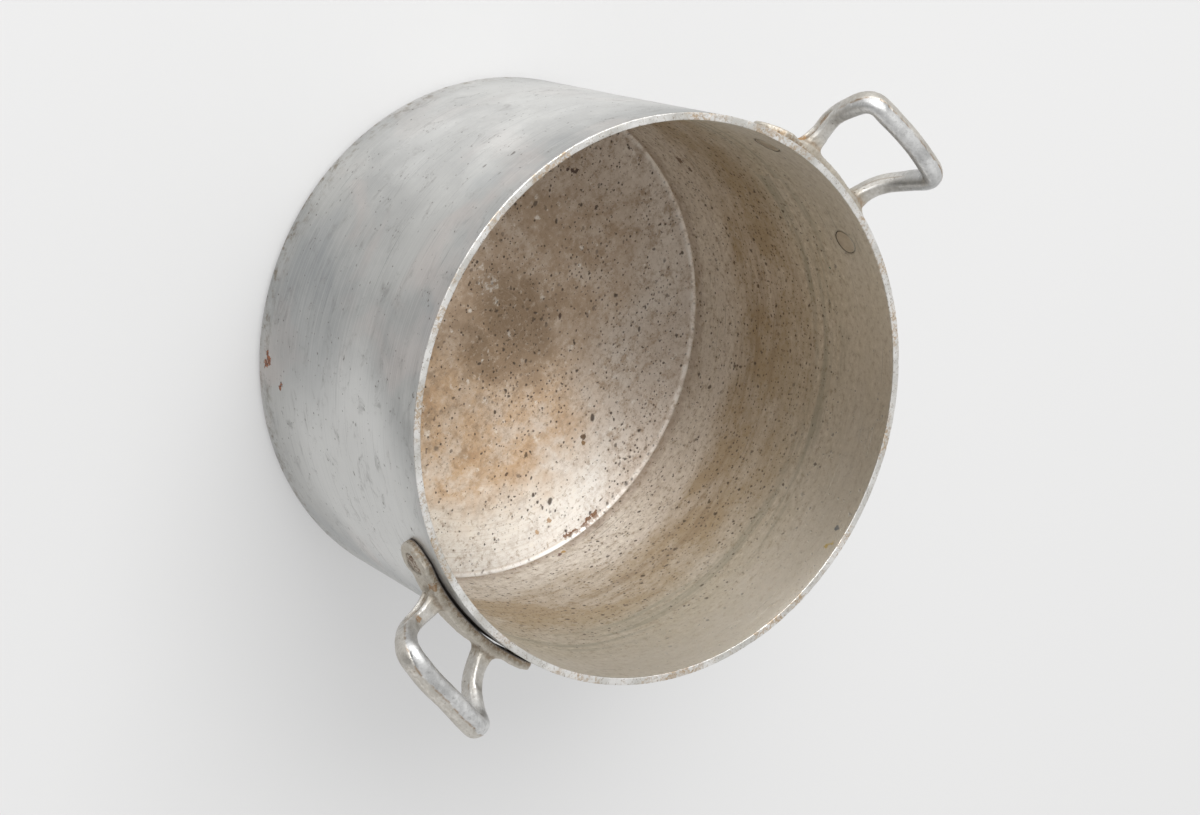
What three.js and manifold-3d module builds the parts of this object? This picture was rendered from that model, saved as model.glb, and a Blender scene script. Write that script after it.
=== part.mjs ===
// Aluminium stock pot: a one-piece drawn body with two cast loop handles, each riveted on with two solid rivets.
// Millimetres, +Z up through the opening, origin at the centre of the underside, handles on the X axis.
import * as THREE from "three";
import { mergeVertices } from "three/addons/utils/BufferGeometryUtils.js";
import Module from "manifold-3d";

// ---- driving dimensions ----
const rimRadius = 160; // outside of the wall at the rim
const baseRadius = 152; // outside of the wall at the base, from the draft of the deep drawing
const potHeight = 190;
const wallThickness = 4.2;
const baseThickness = 4;
const baseCorner = 6; // outside radius between the wall and the underside
const floorFillet = 2.5; // inside radius between the wall and the floor
const rimBreak = 0.5; // chamfer on both edges of the flat rim

const fitGap = 0.3; // clearance left between pieces that touch

const rivetAngle = THREE.MathUtils.degToRad(15.6); // to each side of the handle's middle
const rivetDrop = 24; // rivet axis below the rim
const rivetHeadRadius = 7.3; // flush head inside the pot
const rivetHeadDepth = 2;
const rivetShankRadius = 4.5;
const rivetTailRadius = 6; // hammered end, sunk in the flange
const rivetTailHeight = 1.2;

const flangeSpring = 1.3; // how far the middle of the flange stands off the wall
const flangeMiddle = 6.4; // thickness between the legs
const flangeEnds = 4.9; // thickness at the ends of the lobes
const lobeRadius = 11.8;
const strapDrop = 8; // lower edge of the strap below the rivet axis
const dimpleRadius = 7.4; // sunk seat round each rivet's tail
const dimpleDepth = 1.5;

// The loop's own points: reach is out from the pot's axis, spread is to each side of the handle's middle,
// and rise is above the rim. The grip's casting is a little out of level: its +Y end is lower and farther out.
const foot = { reach: 162, spread: 23.4, rise: -20 };
const legAim = { reach: 180.2, spread: 23.4, rise: -13.8 }; // pulls the leg square to the wall
const climbAim = { reach: 184.7, spread: 29.3, rise: -18.1 }; // pulls it up towards the grip
const corner = { reach: 201.5, spread: 33.4, rise: 14.3 }; // where the lines of leg and grip would cross
const cornerSkew = { reach: 0.8, spread: -0.8, rise: -2.2 };
const cornerLegCut = 10; // how much of the leg each rounded corner takes up
const cornerGripCut = 9;
const gripBow = 1.6; // the grip's middle, outwards from the line between its corners
const footTilt = 27; // degrees by which the bar's flat sides lean back, at the feet and at the grip
const gripTilt = 45;
const legWidth = 9.4;
const legDepth = 10.8;
const rootFlare = 1.4; // how much wider each leg gets where it grows out of the flange
const gripWidth = 11.6;
const gripDepth = 14.4;

const roundSegments = 96;
const rivetSegments = 24;
const barSides = 16;
const barSteps = 44;

const wasm = await Module();
wasm.setup();

// ---- helpers ----
function toSolid(geometry) {
  const bare = geometry.clone();
  bare.deleteAttribute("normal");
  bare.deleteAttribute("uv");
  const merged = mergeVertices(bare, 1e-4);
  const vertProperties = merged.attributes.position.array;
  const triVerts = new Uint32Array(merged.index.array);
  return new wasm.Manifold(new wasm.Mesh({ numProp: 3, vertProperties, triVerts }));
}

function toGeometry(solid) {
  const mesh = solid.getMesh();
  const indexed = new THREE.BufferGeometry();
  indexed.setAttribute("position", new THREE.BufferAttribute(mesh.vertProperties, 3));
  indexed.setIndex(new THREE.BufferAttribute(mesh.triVerts, 1));
  const geometry = indexed.toNonIndexed();
  geometry.computeVertexNormals();
  return geometry;
}

// Turns a closed profile of [radius, height] points into a solid round the Z axis.
function revolve(profile, segments) {
  const points = profile.map(([radius, height]) => new THREE.Vector2(radius, height));
  return new THREE.LatheGeometry(points, segments).rotateX(Math.PI / 2);
}

// Points of a quarter round in the radius-height plane, both angles in degrees.
function arcPoints(centreRadius, centreHeight, radius, from, to, steps = 6) {
  return Array.from({ length: steps + 1 }, (_, i) => {
    const angle = THREE.MathUtils.degToRad(THREE.MathUtils.lerp(from, to, i / steps));
    return [centreRadius + radius * Math.cos(angle), centreHeight + radius * Math.sin(angle)];
  });
}

function wallRadiusAt(height) {
  return THREE.MathUtils.lerp(baseRadius, rimRadius, height / potHeight);
}

const rivetHeight = potHeight - rivetDrop;
const rivetWallRadius = wallRadiusAt(rivetHeight);
const lobeAt = rivetWallRadius * Math.sin(rivetAngle);
const flangeEndAngle = Math.asin((lobeAt + lobeRadius) / rivetWallRadius);

// Distance from the wall to a flange surface that stands off by middle at the handle's centre and by ends at the
// lobes' ends, at an angle round the pot from the handle's centre.
function standOff(middle, ends, angle) {
  const share = (1 - Math.cos(angle)) / (1 - Math.cos(flangeEndAngle));
  return THREE.MathUtils.lerp(middle, ends, share);
}

const flangeInside = { middle: fitGap + flangeSpring, ends: fitGap };
const flangeOutside = { middle: flangeInside.middle + flangeMiddle, ends: fitGap + flangeEnds };
const lobeFace = rivetWallRadius + standOff(flangeOutside.middle, flangeOutside.ends, rivetAngle);
const dimpleFloor = lobeFace - dimpleDepth;

// ---- rivets ----
// The profile runs out along the rivet's axis, measured from the pot's axis; grow swells it into its own cutter.
function rivetGeometry(grow = 0) {
  const headFace = rivetWallRadius - wallThickness - grow;
  const headBack = headFace + rivetHeadDepth + 2 * grow;
  const tailSeat = dimpleFloor + fitGap;
  const tailTop = tailSeat + rivetTailHeight;
  const shank = rivetShankRadius + grow;
  const profile = [
    [0, headFace],
    [rivetHeadRadius + grow, headFace],
    [rivetHeadRadius + grow, headFace + rivetHeadDepth / 3 + grow],
    [shank, headBack],
    [shank, tailSeat],
    [rivetTailRadius, tailSeat],
    [rivetTailRadius - 0.5, tailSeat + rivetTailHeight * 0.6],
    [rivetTailRadius * 0.6, tailTop - 0.1],
    [0, tailTop],
  ];
  return revolve(profile, rivetSegments).rotateY(Math.PI / 2);
}

// Stands a piece made along the X axis at one of the rivets.
function placeAtRivet(geometry, side) {
  return geometry.rotateZ(side * rivetAngle).translate(0, 0, rivetHeight);
}

// ---- pot body ----
function potShell() {
  const wallFoot = wallRadiusAt(baseCorner);
  const innerFoot = wallFoot - wallThickness;
  const profile = [
    [0, 0],
    ...arcPoints(wallFoot - baseCorner, baseCorner, baseCorner, -90, 0),
    [rimRadius, potHeight - rimBreak],
    [rimRadius - rimBreak, potHeight],
    [rimRadius - wallThickness + rimBreak, potHeight],
    [rimRadius - wallThickness, potHeight - rimBreak],
    ...arcPoints(innerFoot - floorFillet, baseThickness + floorFillet, floorFillet, 0, -90),
    [0, baseThickness],
  ];
  let shell = toSolid(revolve(profile, roundSegments));
  for (const turn of [0, Math.PI]) {
    for (const side of [-1, 1]) {
      const cutter = placeAtRivet(rivetGeometry(fitGap), side).rotateZ(turn);
      shell = shell.subtract(toSolid(cutter));
    }
  }
  return toGeometry(shell);
}

// ---- handle ----
// A disc whose edge follows the bend of a flange surface: tighter than the wall, with its centre off the pot's axis.
function bentDisc({ middle, ends }) {
  const centre = (middle - ends) / (1 - Math.cos(flangeEndAngle));
  const low = rivetHeight - lobeRadius - 15;
  const high = rivetHeight + lobeRadius + 15;
  const profile = [
    [0, low],
    [wallRadiusAt(low) + middle - centre, low],
    [wallRadiusAt(high) + middle - centre, high],
    [0, high],
  ];
  return toSolid(revolve(profile, roundSegments).translate(centre, 0, 0));
}

// Two round lobes joined by a strap whose upper edge is level with the top of the lobes.
function flangeOutline() {
  const waistAt = lobeAt - lobeRadius * 1.4;
  const outline = new THREE.Shape();
  outline.moveTo(-lobeAt, lobeRadius);
  outline.absarc(-lobeAt, 0, lobeRadius, Math.PI / 2, (3 * Math.PI) / 2, false);
  outline.quadraticCurveTo(-lobeAt + lobeRadius * 0.7, -lobeRadius, -waistAt, -strapDrop);
  outline.lineTo(waistAt, -strapDrop);
  outline.quadraticCurveTo(lobeAt - lobeRadius * 0.7, -lobeRadius, lobeAt, -lobeRadius);
  outline.absarc(lobeAt, 0, lobeRadius, -Math.PI / 2, Math.PI / 2, false);
  outline.closePath();
  return outline;
}

function flangeSolid() {
  const prism = new THREE.ExtrudeGeometry(flangeOutline(), {
    depth: rimRadius * 0.4,
    bevelEnabled: false,
    curveSegments: 16,
  });
  prism.rotateX(Math.PI / 2).rotateZ(Math.PI / 2).translate(rimRadius * 0.8, 0, rivetHeight);
  return bentDisc(flangeOutside).intersect(toSolid(prism));
}

// A point of the loop on the +Y side (side 1) or the -Y side (side -1) of the handle.
function loopPoint({ reach, spread, rise }, side) {
  return new THREE.Vector3(reach, side * spread, potHeight + rise);
}

// Middle line of one half of the loop, from the foot to the middle of the grip.
function halfLoop(side) {
  const cornerPoint = loopPoint(corner, side);
  cornerPoint.add(new THREE.Vector3(side * cornerSkew.reach, cornerSkew.spread, side * cornerSkew.rise));
  const bowAngle = THREE.MathUtils.degToRad(gripTilt);
  const middle = new THREE.Vector3(
    corner.reach + gripBow * Math.cos(bowAngle),
    cornerSkew.spread,
    potHeight + corner.rise + gripBow * Math.sin(bowAngle),
  );
  const towards = (aim, length) => cornerPoint.clone().add(aim.clone().sub(cornerPoint).setLength(length));
  const climb = loopPoint(climbAim, side);
  const legEnd = towards(climb, cornerLegCut);
  const gripEnd = towards(middle, cornerGripCut);
  const levelAim = new THREE.Vector3(middle.x, THREE.MathUtils.lerp(middle.y, gripEnd.y, 0.5), middle.z);
  return [
    new THREE.CubicBezierCurve3(loopPoint(foot, side), loopPoint(legAim, side), climb, legEnd),
    new THREE.QuadraticBezierCurve3(legEnd, cornerPoint, gripEnd),
    new THREE.QuadraticBezierCurve3(gripEnd, levelAim, middle),
  ];
}

function reversed(curve) {
  if (curve.isCubicBezierCurve3) {
    return new THREE.CubicBezierCurve3(curve.v3, curve.v2, curve.v1, curve.v0);
  }
  return new THREE.QuadraticBezierCurve3(curve.v2, curve.v1, curve.v0);
}

function loopPath() {
  const path = new THREE.CurvePath();
  halfLoop(1).forEach((curve) => path.add(curve));
  halfLoop(-1).reverse().forEach((curve) => path.add(reversed(curve)));
  return path;
}

// Half width, half depth, squareness and lean of the bar, from 0 at either foot to 1 at the middle of the grip.
function barSection(fromFoot) {
  const { lerp, smoothstep, degToRad } = THREE.MathUtils;
  const gripShare = smoothstep(fromFoot, 0.3, 0.75);
  const flare = lerp(rootFlare, 1, smoothstep(fromFoot, 0, 0.2));
  return {
    halfWidth: (lerp(legWidth, gripWidth, gripShare) / 2) * flare,
    halfDepth: lerp(legDepth, gripDepth, gripShare) / 2,
    power: lerp(0.7, 0.92, gripShare),
    lean: degToRad(lerp(footTilt, gripTilt, smoothstep(fromFoot, 0, 0.5))),
  };
}

// A bar with rounded-square legs and an oval grip: a straight cylinder whose rings are moved onto the loop.
function loopSolid() {
  const path = loopPath();
  const bar = new THREE.CylinderGeometry(1, 1, 1, barSides, barSteps);
  const positions = bar.attributes.position;
  const rounded = (value, power) => Math.sign(value) * Math.abs(value) ** power;
  const point = new THREE.Vector3();
  for (let i = 0; i < positions.count; i += 1) {
    const along = positions.getY(i) + 0.5;
    const section = barSection(1 - Math.abs(2 * along - 1));
    const tangent = path.getTangentAt(along);
    const across = new THREE.Vector3(-Math.sin(section.lean), 0, Math.cos(section.lean));
    across.addScaledVector(tangent, -across.dot(tangent)).normalize();
    const sideways = tangent.clone().cross(across);
    path.getPointAt(along, point);
    point.addScaledVector(sideways, section.halfWidth * rounded(positions.getX(i), section.power));
    point.addScaledVector(across, section.halfDepth * rounded(positions.getZ(i), section.power));
    positions.setXYZ(i, point.x, point.y, point.z);
  }
  return toSolid(bar);
}

function dimpleCutter(side) {
  const slope = 0.4; // how much the dimple widens outwards, for each millimetre of its depth
  const profile = [
    [0, 0],
    [rivetShankRadius + fitGap, 0],
    [rivetShankRadius + fitGap, dimpleFloor],
    [dimpleRadius - slope * dimpleDepth, dimpleFloor],
    [dimpleRadius + slope * dimpleDepth, dimpleFloor + 2 * dimpleDepth],
    [0, dimpleFloor + 2 * dimpleDepth],
  ];
  return toSolid(placeAtRivet(revolve(profile, rivetSegments).rotateY(Math.PI / 2), side));
}

function handleGeometry() {
  let handle = flangeSolid().add(loopSolid()).subtract(bentDisc(flangeInside));
  for (const side of [-1, 1]) {
    handle = handle.subtract(dimpleCutter(side));
  }
  return toGeometry(handle);
}

// ---- assembly ----
function aluminium(color, roughness) {
  return new THREE.MeshStandardMaterial({ color, roughness, metalness: 1 });
}

function named(name, geometry, material) {
  const mesh = new THREE.Mesh(geometry, material);
  mesh.name = name;
  return mesh;
}

const pot = new THREE.Group();
pot.add(named("pot_shell", potShell(), aluminium(0xb3b2ae, 0.5)));

for (const [name, turn] of [["right", 0], ["left", Math.PI]]) {
  const side = new THREE.Group();
  side.rotation.z = turn;
  side.add(named(`handle_${name}`, handleGeometry(), aluminium(0xb9bab9, 0.4)));
  // Seen from the front (-Y), the right handle's front rivet is on its -Y side and the left one's on its +Y side.
  for (const [place, across] of [["front", -Math.cos(turn)], ["back", Math.cos(turn)]]) {
    const rivet = placeAtRivet(rivetGeometry(), Math.sign(across));
    side.add(named(`rivet_${name}_${place}`, rivet, aluminium(0xa9a69f, 0.45)));
  }
  pot.add(side);
}

export default pot;
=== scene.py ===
"""The looks of an aged aluminium stock pot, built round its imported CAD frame.

Everything stands in the CAD's own frame: +Z up through the mouth, handles on the X axis, origin under the base.
Shapes are worked out in millimetres and become metres when their mesh is made.
"""

import math

import bpy
import numpy as np
from mathutils import Matrix, Vector


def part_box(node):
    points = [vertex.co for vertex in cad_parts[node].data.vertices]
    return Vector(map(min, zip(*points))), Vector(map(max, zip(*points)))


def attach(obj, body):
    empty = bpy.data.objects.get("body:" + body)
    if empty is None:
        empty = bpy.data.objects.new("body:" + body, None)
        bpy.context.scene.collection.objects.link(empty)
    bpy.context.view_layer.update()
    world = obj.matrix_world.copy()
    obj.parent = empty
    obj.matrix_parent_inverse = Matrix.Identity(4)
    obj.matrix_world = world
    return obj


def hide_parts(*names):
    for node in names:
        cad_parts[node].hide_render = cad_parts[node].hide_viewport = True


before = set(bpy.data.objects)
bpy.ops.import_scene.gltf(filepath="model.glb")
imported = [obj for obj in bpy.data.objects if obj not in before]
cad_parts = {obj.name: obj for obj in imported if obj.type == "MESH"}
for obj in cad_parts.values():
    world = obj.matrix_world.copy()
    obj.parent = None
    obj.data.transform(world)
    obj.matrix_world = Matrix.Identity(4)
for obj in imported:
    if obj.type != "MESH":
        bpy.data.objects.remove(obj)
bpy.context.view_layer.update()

MM = 0.001

# ---- sizes shared with the CAD, in millimetres ----
shell_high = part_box("pot_shell")[1]
RIM_RADIUS = shell_high.x / MM
POT_HEIGHT = shell_high.z / MM
BASE_RADIUS = 152
WALL = 4.2
FLOOR = 4
BASE_CORNER = 6
FLOOR_FILLET = 2.5
RIM_EDGE = 0.45  # radius of the rim's two worn edges

RIVET_ANGLE = math.radians(15.6)
rivet_low, rivet_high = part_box("rivet_right_front")
RIVET_Z = (rivet_low.z + rivet_high.z) / 2 / MM
RIVET_GAP = 0.4
HEAD_RADIUS = 7.2
HEAD_DEPTH = 2
SHANK_RADIUS = 4.5
TAIL_RADIUS = 6

FLANGE_GAP = (1.6, 0.3)  # inside of the flange to the wall: at its middle and at its ends
FLANGE_FACE = (8.0, 5.2)  # outside of the flange to the wall
LOBE_RADIUS = 11.8
DIMPLE_RADIUS = 7.4
DIMPLE_DEPTH = 1.5

BODY_SEGMENTS = 840
TURNED_SEGMENTS = 72
MEAN_RADIUS = 0.15  # in metres; what an angle is multiplied by to lay the wall out flat

# marks that stand out in the photograph: (angle in degrees, height, radius), and (x, y, size) on the floor
RUST_MARKS = ((-45.2, 16.5, 2.7), (-43.9, 13.5, 2.4), (-46.4, 14.0, 1.8), (-41.2, 32.0, 1.7), (-40.3, 30.0, 1.5))
CRUSTS = ((27, 142.6, 2.6), (31, 142, 2.6), (35, 141.4, 2.2), (42, 139, 2.0), (47, 137.2, 2.4), (50, 136, 1.8))


def wall_radius(z):
    """Outside radius of the tapered wall at a height."""
    return BASE_RADIUS + (RIM_RADIUS - BASE_RADIUS) * z / POT_HEIGHT


RIVET_WALL = wall_radius(RIVET_Z)
LOBE_AT = RIVET_WALL * math.sin(RIVET_ANGLE)
FLANGE_END = math.asin((LOBE_AT + LOBE_RADIUS) / RIVET_WALL)


# ---- shape helpers ----
def ripples(points, wavelength, seed, waves=14):
    """A smooth random field of about unit size: plane waves of similar length in seeded directions."""
    random = np.random.default_rng(seed)
    directions = random.normal(size=(waves, 3))
    directions /= np.linalg.norm(directions, axis=1)[:, None]
    steps = directions * (2 * math.pi / (wavelength * random.uniform(0.7, 1.4, waves)))[:, None]
    return np.sin(points @ steps.T + random.uniform(0, 2 * math.pi, waves)).sum(1) / math.sqrt(waves / 2)


def smooth_step(value, low, high):
    share = np.clip((value - low) / (high - low), 0, 1)
    return share * share * (3 - 2 * share)


def mesh_object(name, points, faces, materials, face_materials=None):
    """A smooth-shaded object from points in millimetres."""
    mesh = bpy.data.meshes.new(name)
    mesh.from_pydata((np.asarray(points) * MM).tolist(), [], faces)
    for material in materials:
        mesh.materials.append(material)
    if face_materials is not None:
        mesh.polygons.foreach_set("material_index", face_materials)
    mesh.shade_smooth()
    mesh.update()
    thing = bpy.data.objects.new(name, mesh)
    bpy.context.scene.collection.objects.link(thing)
    return thing


def ring_faces(rows, segments):
    """Quads between neighbouring rings of points, for rings listed from the axis outwards and up."""
    row, at = np.meshgrid(np.arange(rows - 1), np.arange(segments), indexing="ij")
    following = (at + 1) % segments
    corners = [row * segments + at, row * segments + following,
               (row + 1) * segments + following, (row + 1) * segments + at]
    return np.stack(corners, -1).reshape(-1, 4).tolist()


def closed_tube(rows, segments, first, last):
    """Quads between rings, and the triangles that close both ends onto the points first and last."""
    faces = ring_faces(rows, segments)
    end = (rows - 1) * segments
    for at in range(segments):
        following = (at + 1) % segments
        faces += [[first, following, at], [last, end + at, end + following]]
    return faces


# ---- material helpers ----
class Paint:
    """A material's nodes, with a short call for each kind of node used here."""

    def __init__(self, name):
        self.material = bpy.data.materials.new(name)
        self.material.use_nodes = True
        self.nodes = self.material.node_tree.nodes
        self.links = self.material.node_tree.links
        self.shader = self.nodes["Principled BSDF"]
        self.place = self.nodes.new("ShaderNodeTexCoord").outputs["Object"]
        self.colour = None
        self.fine_warp = None

    def feed(self, socket, value):
        if isinstance(value, bpy.types.NodeSocket):
            self.links.new(value, socket)
        elif socket.type == "RGBA" and len(value) == 3:
            socket.default_value = (*value, 1)
        else:
            socket.default_value = value

    def attribute(self, name):
        node = self.nodes.new("ShaderNodeAttribute")
        node.attribute_name = name
        return node.outputs["Fac"]

    def math(self, operation, a, b=0.0, clamp=False):
        node = self.nodes.new("ShaderNodeMath")
        node.operation = operation
        node.use_clamp = clamp
        self.feed(node.inputs[0], a)
        self.feed(node.inputs[1], b)
        return node.outputs[0]

    def times(self, a, b):
        return self.math("MULTIPLY", a, b)

    def plus(self, a, b, clamp=False):
        return self.math("ADD", a, b, clamp)

    def most(self, a, b):
        return self.math("MAXIMUM", a, b)

    def inverse(self, a):
        return self.math("SUBTRACT", 1.0, a)

    def stretched(self, scale, shift, place):
        """A place, moved and then scaled along each axis."""
        node = self.nodes.new("ShaderNodeMapping")
        node.inputs["Location"].default_value = tuple(s * k for s, k in zip(shift, scale))
        node.inputs["Scale"].default_value = scale
        self.feed(node.inputs["Vector"], place or self.place)
        return node.outputs[0]

    def noise(self, scale, shift=(0, 0, 0), detail=4.0, rough=0.5, warp=0.0, place=None):
        """Cloudy noise; scale is in waves to the metre along each axis of the place."""
        node = self.nodes.new("ShaderNodeTexNoise")
        for name, number in {"Scale": 1, "Detail": detail, "Roughness": rough, "Distortion": warp}.items():
            node.inputs[name].default_value = number
        scale = scale if isinstance(scale, tuple) else (scale,) * 3
        self.feed(node.inputs["Vector"], self.stretched(scale, shift, place))
        return node.outputs["Fac"]

    def unrolled(self, reach):
        """The place measured round the pot at one radius, then outwards or up, whichever the reach socket gives."""
        angle = self.math("ARCTAN2", self.axis("Y"), self.axis("X"))
        node = self.nodes.new("ShaderNodeCombineXYZ")
        self.feed(node.inputs[0], self.times(angle, MEAN_RADIUS))
        self.feed(node.inputs[1], reach)
        return node.outputs[0]

    def between(self, value, low, high, start=0.0, end=1.0):
        """Goes smoothly from start to end as value goes from low to high."""
        node = self.nodes.new("ShaderNodeMapRange")
        node.interpolation_type = "SMOOTHSTEP"
        self.feed(node.inputs["Value"], value)
        for name, number in {"From Min": low, "From Max": high, "To Min": start, "To Max": end}.items():
            node.inputs[name].default_value = number
        return node.outputs["Result"]

    def blend(self, share, a, b):
        node = self.nodes.new("ShaderNodeMix")
        node.data_type = "RGBA"
        for socket, value in [(0, share), (6, a), (7, b)]:  # the factor and the two colours
            self.feed(node.inputs[socket], value)
        return node.outputs[2]

    def coat(self, tone, share, strength=None):
        """Lays a tone over the colour so far, where share is 1, as thickly as strength says."""
        self.colour = self.blend(share if strength is None else self.times(share, strength), self.colour, tone)

    def axis(self, name):
        node = self.nodes.new("ShaderNodeSeparateXYZ")
        self.feed(node.inputs[0], self.place)
        return node.outputs[name]

    def radius(self):
        """Distance from the pot's axis."""
        square = lambda name: self.math("POWER", self.axis(name), 2.0)
        return self.math("SQRT", self.plus(square("X"), square("Y")))

    def distance(self, centre):
        """Distance in metres from a point in millimetres."""
        node = self.nodes.new("ShaderNodeVectorMath")
        node.operation = "DISTANCE"
        self.feed(node.inputs[0], self.place)
        node.inputs[1].default_value = tuple(c * MM for c in centre)
        return node.outputs["Value"]

    def spot(self, centre, size, ragged=0.5):
        """1 within size of a point, both in millimetres, with a ragged edge that falls to 0."""
        if self.fine_warp is None:
            self.fine_warp = self.math("SUBTRACT", self.noise(330.0, detail=5.0, rough=0.65), 0.5)
        reach = self.plus(self.distance(centre), self.times(self.fine_warp, 4 * ragged * size * MM))
        return self.between(reach, 0.75 * size * MM, 1.1 * size * MM, 1.0, 0.0)

    def pits(self, scale, size, share, place=None, shift=(0, 0, 0), stretch=1.0):
        """Specks on scattered points: size is their radius in cells, and share is how many cells hold one.

        With a place they are scattered over its first two axes, and without one through the solid.
        """
        node = self.nodes.new("ShaderNodeTexVoronoi")
        node.voronoi_dimensions = "3D" if place is None else "2D"
        node.inputs["Scale"].default_value = 1
        wander = self.noise(scale * 1.7, shift, detail=2.0)
        spread = self.stretched((scale * stretch, scale, scale), shift, place)
        warped = self.nodes.new("ShaderNodeVectorMath")
        warped.operation = "ADD"
        self.feed(warped.inputs[0], spread)
        self.feed(warped.inputs[1], self.times(wander, 0.5))
        self.feed(node.inputs["Vector"], warped.outputs[0])
        split = self.nodes.new("ShaderNodeSeparateColor")
        self.feed(split.inputs[0], node.outputs["Color"])
        chosen = self.math("LESS_THAN", split.outputs["Red"], share)
        own = self.plus(self.math("POWER", split.outputs["Green"], 2.0), 0.3)
        edge = self.math("DIVIDE", node.outputs["Distance"], self.times(own, size))
        depth = self.times(self.between(split.outputs["Blue"], 0.0, 0.7, 0.45, 1.0), chosen)
        return self.times(depth, self.between(edge, 0.45, 1.15, 1.0, 0.0))

    def bump(self, height, depth, onto=None):
        """A normal from a height of 0 to 1 that stands for depth millimetres."""
        node = self.nodes.new("ShaderNodeBump")
        node.inputs["Distance"].default_value = depth * MM
        self.feed(node.inputs["Height"], height)
        if onto is not None:
            self.feed(node.inputs["Normal"], onto)
        return node.outputs[0]

    def finish(self, roughness, normal=None, metallic=1.0, brushed=0.0):
        """Fills in the shader; brushed is how strongly fine grooves round the pot's axis stretch the highlights."""
        if brushed:
            tangent = self.nodes.new("ShaderNodeTangent")
            tangent.direction_type = "RADIAL"
            tangent.axis = "Z"
            self.feed(self.shader.inputs["Tangent"], tangent.outputs[0])
            self.shader.inputs["Anisotropic"].default_value = brushed
            self.shader.inputs["Anisotropic Rotation"].default_value = 0.25
        self.feed(self.shader.inputs["Base Color"], self.colour)
        self.feed(self.shader.inputs["Roughness"], roughness)
        self.feed(self.shader.inputs["Metallic"], metallic)
        if normal is not None:
            self.feed(self.shader.inputs["Normal"], normal)
        return self.material


# ---- materials ----
def on_wall(angle, z, inside=False):
    """A point on the wall, from its angle in degrees and its height."""
    radius = wall_radius(z) - (WALL if inside else 0)
    return radius * math.cos(math.radians(angle)), radius * math.sin(math.radians(angle)), z


def scratch_lines(paint, spread):
    """Thin broken lines in three slanted directions."""
    total = None
    for turn, shift in [(0.5, 0.3), (-0.9, 0.8), (1.9, 0.5)]:
        node = paint.nodes.new("ShaderNodeMapping")
        node.inputs["Rotation"].default_value = (0, 0, turn)
        node.inputs["Scale"].default_value = (14.0, 620.0, 1.0)
        node.inputs["Location"].default_value = (shift, shift, 0)
        paint.feed(node.inputs["Vector"], spread)
        texture = paint.nodes.new("ShaderNodeTexNoise")
        texture.inputs["Scale"].default_value = 1
        texture.inputs["Detail"].default_value = 1
        paint.feed(texture.inputs["Vector"], node.outputs[0])
        line = paint.between(texture.outputs["Fac"], 0.715, 0.755)
        total = line if total is None else paint.most(total, line)
    return paint.times(total, paint.between(paint.noise(22.0, (0.6, 0.6, 0.1)), 0.45, 0.6))


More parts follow.
